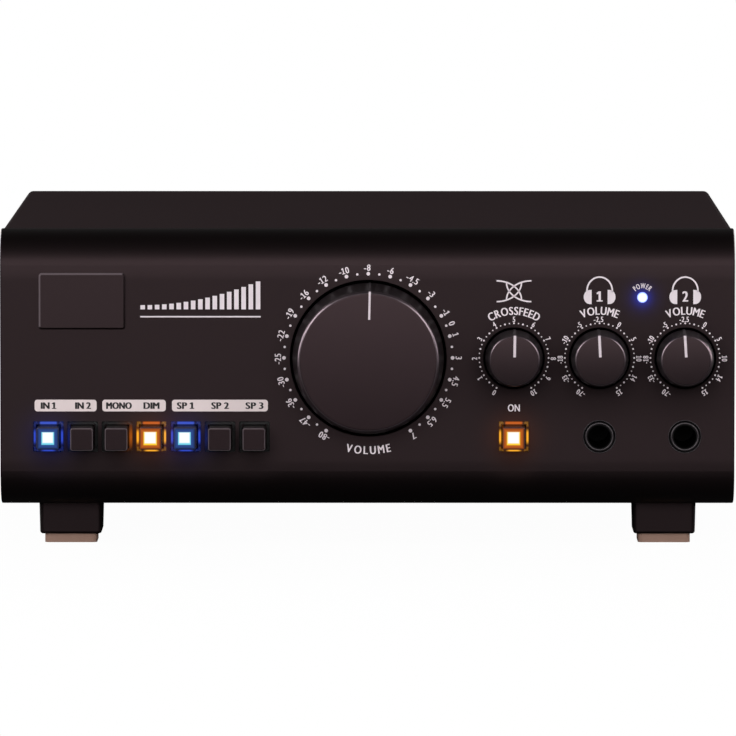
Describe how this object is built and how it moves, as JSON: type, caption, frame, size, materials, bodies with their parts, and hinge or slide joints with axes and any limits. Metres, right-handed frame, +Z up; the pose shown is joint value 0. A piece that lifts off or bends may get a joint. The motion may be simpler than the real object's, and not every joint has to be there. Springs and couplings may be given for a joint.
{
  "type": "studio monitor controller",
  "caption": "Desktop audio monitor controller: dark metal case with a large volume dial, small dials, square lit push buttons, headphone sockets and rear connectors.",
  "frame": {"origin": "on the ground, under the middle of the object's outer box", "axes": "+X to the right seen from the front, +Y towards the back, +Z up"},
  "size_m": [0.21, 0.2256, 0.091],
  "materials": {
    "case_paint": "fine satin black paint",
    "black_steel": "blackened",
    "bright_steel": "bright zinc",
    "foot_plastic": "moulded black",
    "pad_rubber": "matt brown",
    "emblem_metal": "black anodised, bevelled, bare",
    "knob_metal": "black anodised, satin face and polished side",
    "pointer_white": "pale filled line",
    "brass": "plain turned",
    "dark_plastic": "moulded",
    "cap_plastic": "smoked, lit from behind",
    "housing_plastic": "black",
    "light_guide": "clear light guide",
    "blue_lamp": "lit blue lamp",
    "board": "green circuit board",
    "capacitor_sleeve": "sleeved can",
    "heat_sink_metal": "black anodised",
    "ribbon": "grey ribbon",
    "coil": "wound coil under tape",
    "transformer_rubber": "black sheet",
    "socket_metal": "black die-cast",
    "latch_metal": "bright",
    "phono_metal": "gilt",
    "insulator": "moulded insulator, pale in the phono sockets and black in the others",
    "inlet_plastic": "black moulded",
    "rocker_plastic": "black moulded"
  },
  "bodies": {
    "case": {"front_panel": "case_paint", "top_cover": "case_paint", "chassis_tray": "case_paint", "rear_panel": "case_paint", "case_screws": "black_steel", "connector_screws": "black_steel", "tray_bolts": "black_steel", "tray_nuts": "bright_steel", "pot_nuts": "bright_steel", "board_screws": "bright_steel", "transformer_clamp": "bright_steel", "feet": "foot_plastic", "foot_pads": "pad_rubber", "emblem_plate": "emblem_metal", "board_pillars": "brass", "connector_pins": "brass", "potentiometers": "dark_plastic", "relays_and_chips": "dark_plastic", "phones_sockets": "dark_plastic", "button_housings": "housing_plastic", "button_lamps": "light_guide", "power_lamp": "blue_lamp", "control_board": "board", "main_board": "board", "capacitors": "capacitor_sleeve", "heat_sink": "heat_sink_metal", "ribbon_cable": "ribbon", "transformer": "coil", "transformer_pads": "transformer_rubber", "output_sockets": "socket_metal", "input_sockets": "socket_metal", "phono_sockets": "phono_metal", "socket_insulators": "insulator", "power_inlet": "inlet_plastic", "rocker_frame": "inlet_plastic"},
    "main_dial": {"main_knob": "knob_metal", "main_knob_pointer": "pointer_white", "main_knob_collet": "brass", "main_shaft": "bright_steel"},
    "crossfeed_dial": {"crossfeed_knob": "knob_metal", "crossfeed_pointer": "pointer_white", "crossfeed_shaft": "bright_steel"},
    "phones_1_dial": {"phones_1_knob": "knob_metal", "phones_1_pointer": "pointer_white", "phones_1_shaft": "bright_steel"},
    "phones_2_dial": {"phones_2_knob": "knob_metal", "phones_2_pointer": "pointer_white", "phones_2_shaft": "bright_steel"},
    "in_1_button": {"button_in_1": "cap_plastic"},
    "in_2_button": {"button_in_2": "cap_plastic"},
    "mono_button": {"button_mono": "cap_plastic"},
    "dim_button": {"button_dim": "cap_plastic"},
    "sp_1_button": {"button_sp_1": "cap_plastic"},
    "sp_2_button": {"button_sp_2": "cap_plastic"},
    "sp_3_button": {"button_sp_3": "cap_plastic"},
    "crossfeed_on_button": {"button_crossfeed_on": "cap_plastic"},
    "input_latch_upper": {"input_latch_upper": "latch_metal"},
    "input_latch_lower": {"input_latch_lower": "latch_metal"},
    "fuse_drawer": {"fuse_drawer": "inlet_plastic"},
    "power_rocker": {"power_rocker": "rocker_plastic"}
  },
  "joints": [
    {"name": "main_dial_turn", "type": "hinge", "parent": "case", "child": "main_dial", "pos_m": [0.00025, -0.09575, 0.0545], "axis": [0, 1, 0], "range_deg": [-151.3, 148.7]},
    {"name": "crossfeed_dial_turn", "type": "hinge", "parent": "case", "child": "crossfeed_dial", "pos_m": [0.04187, -0.09575, 0.0545], "axis": [0, 1, 0], "range_deg": [-150.9, 149.1]},
    {"name": "phones_1_dial_turn", "type": "hinge", "parent": "case", "child": "phones_1_dial", "pos_m": [0.06633, -0.09575, 0.0545], "axis": [0, 1, 0], "range_deg": [-147.3, 152.7]},
    {"name": "phones_2_dial_turn", "type": "hinge", "parent": "case", "child": "phones_2_dial", "pos_m": [0.09079, -0.09575, 0.0545], "axis": [0, 1, 0], "range_deg": [-146.4, 153.6]},
    {"name": "in_1_press", "type": "slide", "parent": "case", "child": "in_1_button", "axis": [0, 1, 0], "range_m": [-0.0036, 0]},
    {"name": "in_2_press", "type": "slide", "parent": "case", "child": "in_2_button", "axis": [0, 1, 0], "range_m": [0, 0.0036], "stiffness_N_per_m": 120},
    {"name": "mono_press", "type": "slide", "parent": "case", "child": "mono_button", "axis": [0, 1, 0], "range_m": [0, 0.0036], "stiffness_N_per_m": 120},
    {"name": "dim_press", "type": "slide", "parent": "case", "child": "dim_button", "axis": [0, 1, 0], "range_m": [-0.0036, 0]},
    {"name": "sp_1_press", "type": "slide", "parent": "case", "child": "sp_1_button", "axis": [0, 1, 0], "range_m": [-0.0036, 0]},
    {"name": "sp_2_press", "type": "slide", "parent": "case", "child": "sp_2_button", "axis": [0, 1, 0], "range_m": [0, 0.0036], "stiffness_N_per_m": 120},
    {"name": "sp_3_press", "type": "slide", "parent": "case", "child": "sp_3_button", "axis": [0, 1, 0], "range_m": [0, 0.0036], "stiffness_N_per_m": 120},
    {"name": "crossfeed_on_press", "type": "slide", "parent": "case", "child": "crossfeed_on_button", "axis": [0, 1, 0], "range_m": [-0.0036, 0]},
    {"name": "input_latch_upper_press", "type": "slide", "parent": "case", "child": "input_latch_upper", "axis": [0, -1, 0], "range_m": [0, 0.0012], "stiffness_N_per_m": 250},
    {"name": "input_latch_lower_press", "type": "slide", "parent": "case", "child": "input_latch_lower", "axis": [0, -1, 0], "range_m": [0, 0.0012], "stiffness_N_per_m": 250},
    {"name": "fuse_drawer_slide", "type": "slide", "parent": "case", "child": "fuse_drawer", "axis": [0, 1, 0], "range_m": [0, 0.018]},
    {"name": "power_rocker_tilt", "type": "hinge", "parent": "case", "child": "power_rocker", "pos_m": [0.081, 0.10075, 0.076], "axis": [1, 0, 0], "range_deg": [-16, 0]}
  ]
}
